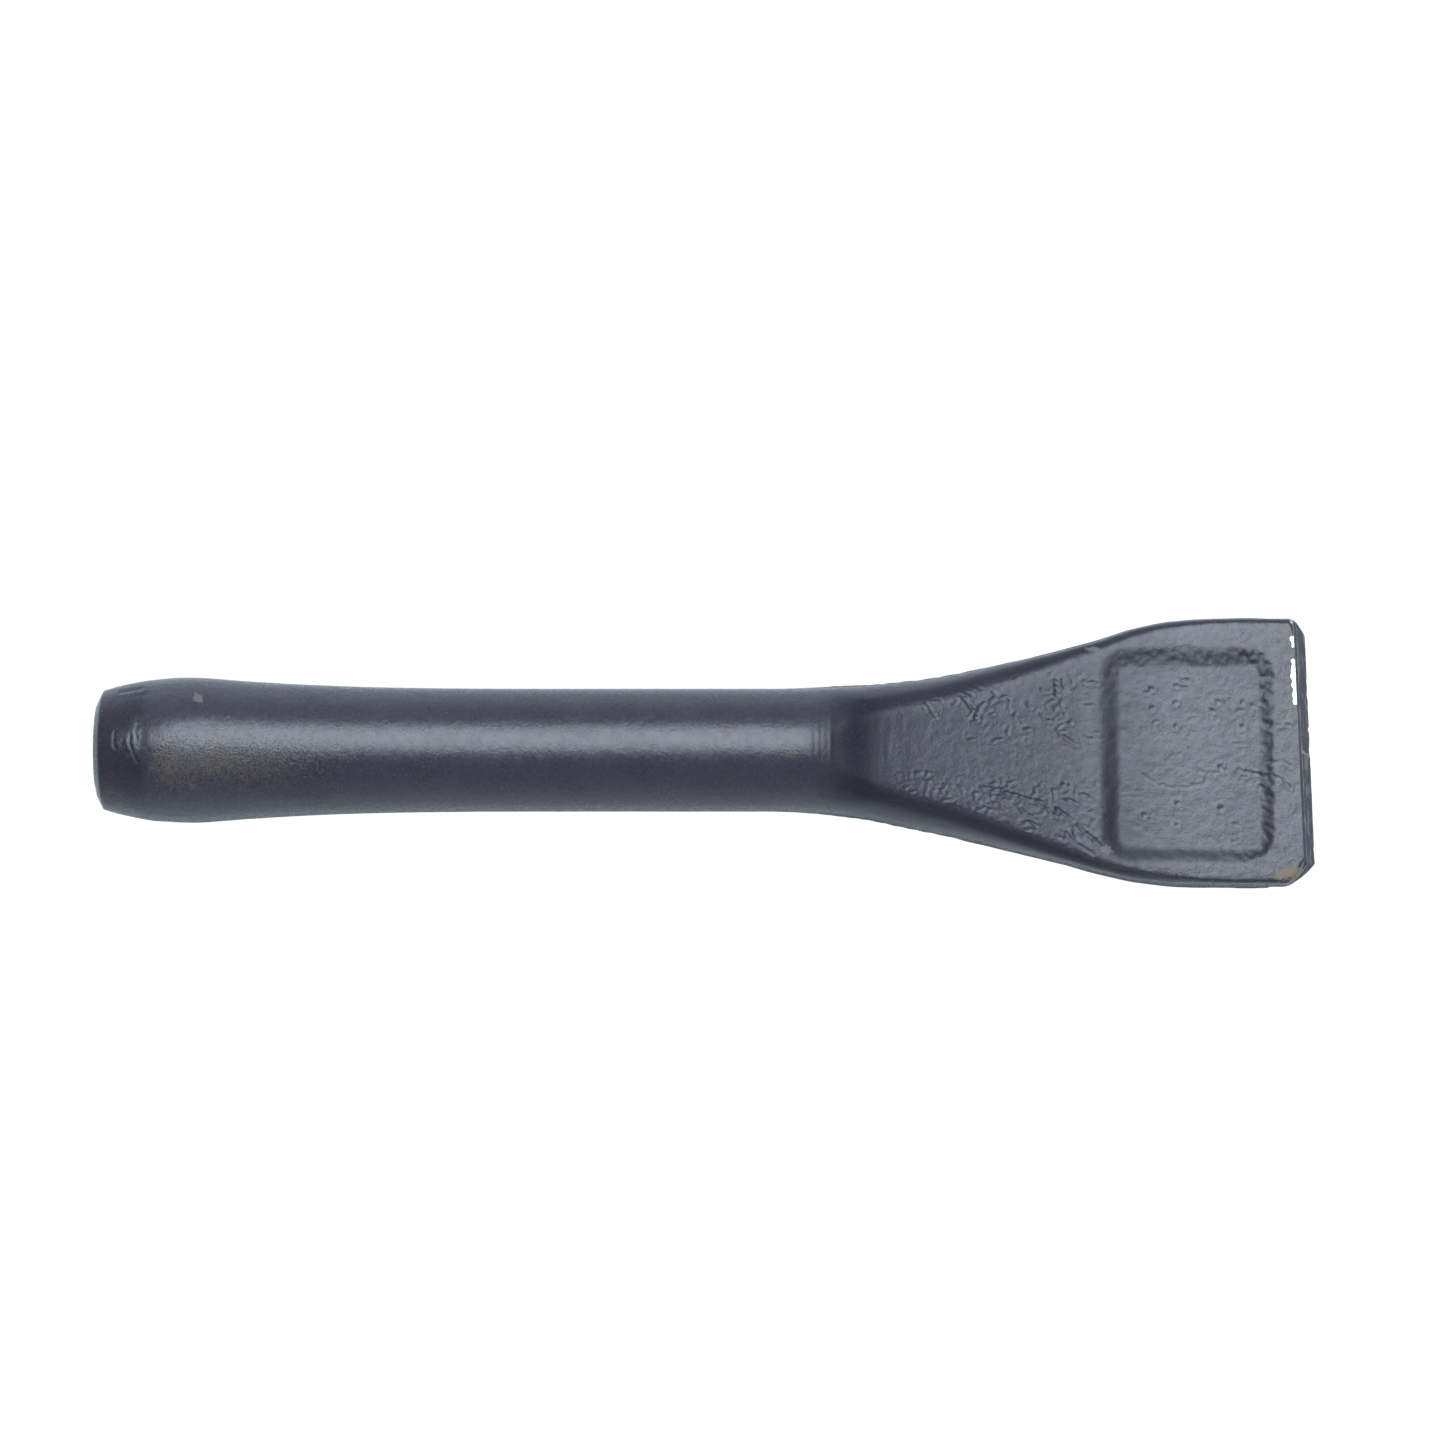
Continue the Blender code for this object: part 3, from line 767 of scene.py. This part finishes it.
# %% [markdown]
# ## Carbide and braze
# Sintered carbide can only be ground. Noise that is stretched across the blade draws the fine lines that
# the wheel left. The braze is a brass-coloured alloy. Both were dipped with the tool, so most of each is
# still under enamel, and a coarser noise says where it shows.

# %% Ground carbide and braze
def carbide_finish():
    """Ground sintered carbide: grey, with grinding lines and a skin of enamel dragged over it."""
    material, tree, shader, place = new_finish("ground_carbide", 0.5, 0.3)
    shader.inputs["Specular IOR Level"].default_value = 0.12
    stretched = node(tree, "Mapping", {"Vector": place}, {"Scale": (6.0, 0.25, 6.0)}).outputs["Vector"]
    lines = grain(tree, stretched, 900.0, 3.0)
    cloud = grain(tree, place, 260.0, 4.0, 0.6)
    painted = spread(tree, plus(tree, cloud, times(tree, lines, 0.2)), 0.64, 0.72)
    colour = blend_colour(tree, spread(tree, lines, 0.35, 0.65), (0.13, 0.14, 0.15), (0.20, 0.21, 0.22))
    colour = blend_colour(tree, painted, (0.040, 0.042, 0.060), colour)
    tree.links.new(colour, shader.inputs["Base Color"])
    tree.links.new(spread(tree, painted, 0.0, 1.0, 0.0, 0.7), shader.inputs["Metallic"])
    tree.links.new(spread(tree, lines, 0.3, 0.7, 0.50, 0.66), shader.inputs["Roughness"])
    bump(tree, shader, plus(tree, times(tree, lines, 0.5), cloud), 0.04)
    return material


def braze_finish():
    """Brass-coloured filler, mostly under enamel and dull where the flame touched it."""
    material, tree, shader, place = new_finish("braze", 0.4, 0.8)
    cloud = grain(tree, place, 420.0, 4.0, 0.6)
    fine = grain(tree, place, 2400.0, 2.0)
    showing = spread(tree, cloud, 0.50, 0.58)
    gold = blend_colour(tree, spread(tree, fine, 0.35, 0.65), (0.40, 0.26, 0.10), (0.56, 0.40, 0.19))
    colour = blend_colour(tree, showing, (0.022, 0.025, 0.034), gold)
    tree.links.new(colour, shader.inputs["Base Color"])
    tree.links.new(spread(tree, showing, 0.0, 1.0, 0.05, 0.9), shader.inputs["Metallic"])
    tree.links.new(spread(tree, fine, 0.3, 0.7, 0.32, 0.5), shader.inputs["Roughness"])
    bump(tree, shader, plus(tree, cloud, times(tree, fine, 0.3)), 0.08)
    return material


enamel_paint, carbide, braze = enamel(), carbide_finish(), braze_finish()
print("finishes:", [finish.name for finish in (enamel_paint, carbide, braze)])

# %% [markdown]
# ## The body, with its history and painted shade written on it
# Six named values say what became of the enamel and where shade is painted on it. Rust, scuff, bare and braze
# say where something shows through it or lies on it. Matt says where it is dull: on the panel's walls, on the
# end, round the neck, and in a band under the edges of the face. The sixth value is painted shade: it darkens
# the colour in those same places and at the end of the head. All are soft shapes here; the shader breaks
# their edges up with fine grain.

# %% What happened to the enamel, and where shade is painted on it, as values at every point
RUST_SPECKS = ((14.6, -5.0), (16.2, -1.4), (11.2, -4.6), (19.0, -7.6), (24.5, -0.6), (69.4, -1.4),
               (130.0, -1.6))
BARE_DOTS = ((225.8, -22.6), (223.4, 24.0))


def write_values(made, name, values):
    """Stores one number for each point of the mesh under a name."""
    layer = made.data.attributes.new(name, "FLOAT", "POINT")
    layer.data.foreach_set("value", values.astype(np.float32))


def face_edge(y):
    """Where the face ends at the working end: a slightly skewed line."""
    return LENGTH - BLADE_THICKNESS * END_LEAN - (y + SKEW_PIVOT) * END_SKEW


def spot(s, y, middle, size, stretch=(1.0, 1.0)):
    """A bell of the distance to a place on the face; stretch makes it longer or wider."""
    return bell(np.hypot((s - middle[0]) / stretch[0], (y - middle[1]) / stretch[1]), size)


def rust_and_scuffs(s, y, z):
    """A bloom of rust with specks round it on the head, and three scuffs."""
    upper, on_face = between(AXIS, AXIS + 3, z), z > SEAT_HEIGHT
    rust = 0.74 * between(10.0, 13.0, s) * between(58.0, 24.0, s) * bell(y + 4.0, 4.4) * upper
    rust = rust + 1.2 * sum(spot(s, y, speck, 0.42) for speck in RUST_SPECKS) * upper
    scuff = 1.1 * spot(s, y, (186.0, 18.9), 0.55, (3.0, 1.0))
    scuff = scuff + 1.2 * spot(s, y, (188.4, -18.9), 0.6, (2.2, 2.0)) * on_face
    return rust, scuff + 1.1 * spot(s, y, (19.6, 8.8), 1.15) * upper


def bare_steel(s, y, z, points):
    """A long and a short chip on the edge of the lip, with torn inner sides, and a dot by each corner."""
    arris = face_edge(y) - s
    torn = between(0.85, 0.5, arris + 0.35 * noise(points, 0.8, 62))
    on_edge = torn * (arris > -0.2) * (z > SEAT_HEIGHT + 3.0)
    long_chip = between(8.0, 8.6, y) * between(17.2, 16.6, y)
    short_chip = 0.8 * between(18.8, 19.4, y) * between(21.6, 21.0, y)
    dots = sum(spot(s, y, dot, 0.4) for dot in BARE_DOTS)
    return on_edge * np.maximum(long_chip, short_chip) + dots * (z > SEAT_HEIGHT)


def dull_and_shaded_places(s, y, z):
    """Shares of the panel's walls, the end, the face, the neck and the band under the face's edges; they make
    the enamel dull, and all but the face also carry painted shade.
    """
    on_face = z > SEAT_HEIGHT
    share = panel_share(s, y)
    wall = 4 * share * (1 - share) * on_face
    end = between(0.0, 0.3, s - face_edge(y))
    end = end + between(0.0, 2.0, corner_loss(s, y)) * (z < BLADE_THICKNESS - 0.8)
    face = between(NECK, NECK + 8, s) * between(PANEL_MIDDLE[0], 190.0, s) * on_face
    neck = bell(s - 140.5, 5.5) * between(AXIS + 3, AXIS + 8, z)
    below = face_height(s) - z
    band = between(0.15, 0.7, below) * between(3.2, 1.4, below) * between(NECK, NECK + 6, s)
    band = band * between(PANEL_MIDDLE[0] + 8, 186.0, s) * (1 - share)
    return wall, end, face, neck, band


def history_and_painted_shade(points):
    """Rust, scuffs, bare steel, stray braze, dull places and painted shade, each from 0 to 1 at every point.
    """
    s, y, z = points[:, 0] + LENGTH / 2, points[:, 1], points[:, 2]
    rust, scuff = rust_and_scuffs(s, y, z)
    uneven = 0.6 * noise(points, 1.2, 63)
    brazed = 1.1 * spot(s, y + uneven, (223.2, -23.6), 0.9, (4.2, 1.5)) * (z > SEAT_HEIGHT)
    wall, end, face, neck, band = dull_and_shaded_places(s, y, z)
    matt = np.clip(0.3 * wall + 0.9 * end + 0.2 * face + 0.55 * neck + 0.5 * band, 0.0, 1.0)
    # painted shade: darker colour at the end of the head, on the panel's walls, on the end, round the neck
    # and under the face's edges, where shade falls
    painted_shade = np.clip(between(11.0, 8.5, s) + 0.8 * wall + end + neck + band, 0.0, 1.0)
    return {"rust": rust, "scuff": scuff, "bare": bare_steel(s, y, z, points), "braze": brazed,
            "matt": matt, "painted_shade": painted_shade}


# %% [markdown]
# ## Making the body
# The grid, the pole of the striking face and the patch at the end are joined into one mesh, which takes
# over from the plain solid. The six values are then stored on its points.

# %% Make the forged body
grid, stations = body_grid()
grid = roughen(grid, stations)
rings, around = grid.shape[:2]
body_points = grid.reshape(-1, 3)
tip_of_disc = grid[0].mean(axis=0)
patch_points, patch_quads, patch_triangles = end_patch(grid, (rings - 1) * around, rings * around + 1)
body_points = np.concatenate([body_points, tip_of_disc[None], patch_points])
body = piece("forged_body_skin", body_points,
             [ring_quads(rings, around), pole(0, around, rings * around, True), patch_quads, patch_triangles],
             enamel_paint, "forged_body")
for name, values in history_and_painted_shade(body_points).items():
    write_values(body, name, values)

# %% [markdown]
# ## Tips and braze
# Carbide is far harder than steel and cannot be forged, so the two tips were pressed and sintered as
# blocks, brazed into the seat and ground flush with the blade. A tip and the film of braze round it are
# all blocks of the blade between two distances, two heights and two sides. One function makes
# them all: it walks round the block's outline, repeats it at each height, and draws it in
# to a pole at the top and at the bottom.

# %% A block of the blade
def blade_side(s, z, side):
    """Distance from the middle to one side: a superellipse of power 12, less the corner and the draft."""
    middle = BLADE_THICKNESS / 2
    rise = z - middle
    squared = (1 - np.abs(rise / (middle + UNDERCUT)) ** 12) ** (1 / 12)
    return (half_width(s) - corner_loss(s, side)) * squared - side_draft(side, rise)


def outline(s_range, y_range, z, steps):
    """The block seen from above: across its back, along one side, across its front and back again."""
    turn = np.linspace(0.0, math.pi / 2, steps + 1)[:-1]
    across = np.linspace(0.0, 1.0, 2 * steps + 1)[:-1]
    s_low, s_high = s_range
    s_right = s_low + (s_high - s_low) * np.sin(turn)
    s_left = s_low + (s_high - s_low) * np.cos(turn)
    s = np.concatenate([np.full(2 * steps, s_low), s_right, np.full(2 * steps, s_high), s_left])
    low, high = (np.clip(limit, -blade_side(s, z, -1), blade_side(s, z, 1)) for limit in y_range)
    share = np.concatenate([1 - across, np.zeros(steps), across, np.ones(steps)])
    return np.column_stack([s, low + (high - low) * share, np.full(len(s), z)])


def blade_block(s_range, y_range, z_range, steps, levels, soften, chips, seed):
    """Outlines stacked between a pole below and a pole on top; chips bite into the front edges."""
    turn = np.linspace(0, math.pi / 2, 4)
    z_low, z_high = z_range
    caps = np.array([0.25, 0.6, 0.85])
    sides = np.linspace(z_low + soften, z_high - soften, levels + 2)[1:-1]
    height = np.concatenate([z_low + 0 * caps, z_low + soften * (1 - np.cos(turn)), sides,
                             z_high - soften * (1 - np.sin(turn)), z_high + 0 * caps])
    drawn_in = np.concatenate([soften + 0 * caps, soften * (1 - np.sin(turn)), 0 * sides,
                               soften * (1 - np.cos(turn)), soften + 0 * caps])
    scale = np.concatenate([caps, np.ones(2 * len(turn) + levels), caps[::-1]])
    block = np.array([outline(s_range, y_range, z, steps) for z in height])
    centre = block.mean(axis=1, keepdims=True)
    size = np.linalg.norm(block - centre, axis=2, keepdims=True)
    block = centre + (block - centre) * scale[:, None, None] * (1 - drawn_in[:, None, None] / size)

    s, y, z = np.moveaxis(block, -1, 0)
    near_edge = bell(s - s_range[1], 0.9) * np.maximum(bell(z - z_low, 0.9), 0.35)
    s = s - chips * near_edge * np.maximum(noise(block, 1.3, seed, 2) - 0.15, 0.0)
    s = s + 0.02 * noise(block, 2.5, seed + 5)
    y = y + 0.02 * noise(block, 2.5, seed + 6)
    block = np.stack([s - end_slant(s, y, z) - LENGTH / 2, y, z], axis=-1)
    rings, around = block.shape[:2]
    points = np.concatenate([block.reshape(-1, 3), block[0].mean(axis=0)[None], block[-1].mean(axis=0)[None]])
    triangles = [pole(0, around, rings * around, True),
                 pole((rings - 1) * around, around, rings * around + 1, False)]
    return points, ring_quads(rings, around), np.concatenate(triangles)


# %% [markdown]
# ## Making the tips and the braze
# The braze is three blocks in one mesh: a film on the wall of the seat, a film under its roof and a web
# between the tips.

# %% Make the two tips and the braze
TIP_BACK = SEAT_START + 1.0          # leaves room for the film on the wall of the seat
TIP_TOP = tip_high[2] + 0.2          # a little over the plain block, so that the film above looks thinner
HALF_JOINT = 0.3                     # from the middle to each tip
HAIR = 0.02                          # left between the braze and what it joins, so that they never cross
PAST = BLADE_WIDTH                   # beyond both sides; a block stops at the side of the blade
TIP_EDGE, TIP_CHIPS = 0.18, 0.5      # how round the edges are, and how deep the chips bite
FILM_EDGE, FILM_CHIPS = 0.08, 0.1

for name, y_range, seed in (("left", (HALF_JOINT, PAST), 71), ("right", (-PAST, -HALF_JOINT), 81)):
    points, quads, triangles = blade_block((TIP_BACK, LENGTH), y_range, (0.0, TIP_TOP), 48, 40,
                                           TIP_EDGE, TIP_CHIPS, seed)
    piece(f"carbide_tip_{name}_ground", points, [quads, triangles], carbide,
          f"carbide_tip_{name}", 40.0)

film_top, film_front = SEAT_HEIGHT - 0.05, (TIP_BACK + HAIR, LENGTH)
films = [((SEAT_START + 0.12, TIP_BACK - HAIR), (-PAST, PAST), (0.0, film_top)),
         (film_front, (-PAST, PAST), (TIP_TOP + HAIR, film_top)),
         (film_front, (HAIR - HALF_JOINT, HALF_JOINT - HAIR), (0.0, TIP_TOP))]
film_points, film_faces, first = [], [], 0
for number, (s_range, y_range, z_range) in enumerate(films):
    points, quads, triangles = blade_block(s_range, y_range, z_range, 40, 12,
                                           FILM_EDGE, FILM_CHIPS, 91 + number)
    film_points.append(points)
    film_faces += [quads + first, triangles + first]
    first += len(points)
piece("braze_film", np.concatenate(film_points), film_faces, braze, "braze_joint", 40.0)

# %% [markdown]
# ## Floor, light and camera
# A big soft light hangs over the tool, a little to its left, so that a long highlight runs down the shank
# and the blade's face shines. The light is a sheet that glows evenly in its middle and fades towards its
# edges, which gives the highlight a soft border. The room is brighter low down than overhead, so that
# the rounded sides of the tool catch a pale rim.
#
# Two sheets lie under the tool. The floor is pale grey; it throws light back at the sides and takes
# the tool's shadow, and only other surfaces see it. The backdrop just above it is what the camera
# sees: it glows an even white, as a lit studio table does when it is exposed for a dark tool.

# %% The set
def glow(name, full, gone, strength):
    """A round glow: bright up to one distance from the sheet's middle, and gone at another."""
    material = bpy.data.materials.new(name)
    material.use_nodes = True
    tree = material.node_tree
    tree.nodes.remove(tree.nodes["Principled BSDF"])
    place = node(tree, "TexCoord").outputs["Object"]
    away = node(tree, "VectorMath", {0: place}, operation="LENGTH").outputs["Value"]
    light = node(tree, "Emission", {"Strength": spread(tree, away, full, gone, strength, 0.0)},
                 {"Color": (0.89, 1.0, 1.07, 1.0)})
    tree.links.new(light.outputs[0], tree.nodes["Material Output"].inputs["Surface"])
    return material


def flat_sheet(name, size, material):
    """A square of this size, facing up, that belongs to the set and not to the tool."""
    mesh = bpy.data.meshes.new(name)
    half = size / 2
    corners = [(-half, -half, 0), (half, -half, 0), (half, half, 0), (-half, half, 0)]
    mesh.from_pydata(corners, [], [(0, 1, 2, 3)])
    mesh.materials.append(material)
    made = bpy.data.objects.new(name, mesh)
    bpy.context.scene.collection.objects.link(made)
    return made


GROUND_SIZE = 6.0
backdrop, _, shader, _ = new_finish("white_backdrop", 1.0, 0.0)
shader.inputs["Base Color"].default_value = (0.0, 0.0, 0.0, 1.0)
shader.inputs["Emission Color"].default_value = (1.0, 1.0, 1.0, 1.0)
shader.inputs["Emission Strength"].default_value = 1.05
backdrop_sheet = flat_sheet("backdrop", GROUND_SIZE, backdrop)
backdrop_sheet.location.z = -0.0004  # just under the tool, and clear of it and of the floor
for ray in ("visible_diffuse", "visible_glossy", "visible_transmission", "visible_shadow"):
    setattr(backdrop_sheet, ray, False)

paper, _, shader, _ = new_finish("pale_floor", 0.9, 0.0)
shader.inputs["Base Color"].default_value = (0.80, 0.84, 0.88, 1.0)
floor = flat_sheet("floor", GROUND_SIZE, paper)
floor.location.z = -0.0005
floor.visible_camera = False

LIGHT_SIZE = 2.0
LIGHT_DISTANCE = 1.7
LIGHT_TILT = math.radians(17.0)
sheet = flat_sheet("soft_light", LIGHT_SIZE, glow("soft_light", 0.48, 0.96, 6.9))
sheet.location = (0.0, LIGHT_DISTANCE * math.sin(LIGHT_TILT), LIGHT_DISTANCE * math.cos(LIGHT_TILT))
sheet.rotation_euler = (math.pi - LIGHT_TILT, 0.0, 0.0)

world = bpy.data.worlds.new("room")
world.use_nodes = True
room = world.node_tree
upward = node(room, "SeparateXYZ", {"Vector": node(room, "TexCoord").outputs["Generated"]}).outputs["Z"]
dim = spread(room, upward, 0.05, 0.75, 0.66, 0.10)
background = room.nodes["Background"]
background.inputs["Color"].default_value = (0.90, 0.98, 1.05, 1.0)
room.links.new(dim, background.inputs["Strength"])
bpy.context.scene.world = world

CAMERA_ELEVATION = math.radians(84.5)             # nearly overhead, from the tool's right side
CAMERA_DISTANCE = 1.0
VIEW_WIDTH = 0.2715                  # how much of the bench fits in the picture, at the aim
aim = np.array([0.0023, 0.00555, 0.010])
camera_data = bpy.data.cameras.new("camera")
camera_data.sensor_width = 36.0
camera_data.lens = camera_data.sensor_width * CAMERA_DISTANCE / VIEW_WIDTH
camera = bpy.data.objects.new("camera", camera_data)
bpy.context.scene.collection.objects.link(camera)
back_off = np.array([0.0, -math.cos(CAMERA_ELEVATION), math.sin(CAMERA_ELEVATION)])
camera.location = aim + CAMERA_DISTANCE * back_off
camera.rotation_euler = (math.pi / 2 - CAMERA_ELEVATION, 0.0, 0.0)
bpy.context.scene.camera = camera
bpy.context.scene.view_settings.view_transform = "Standard"
print("camera at", np.round(camera.location, 3), "lens", round(camera_data.lens, 1))
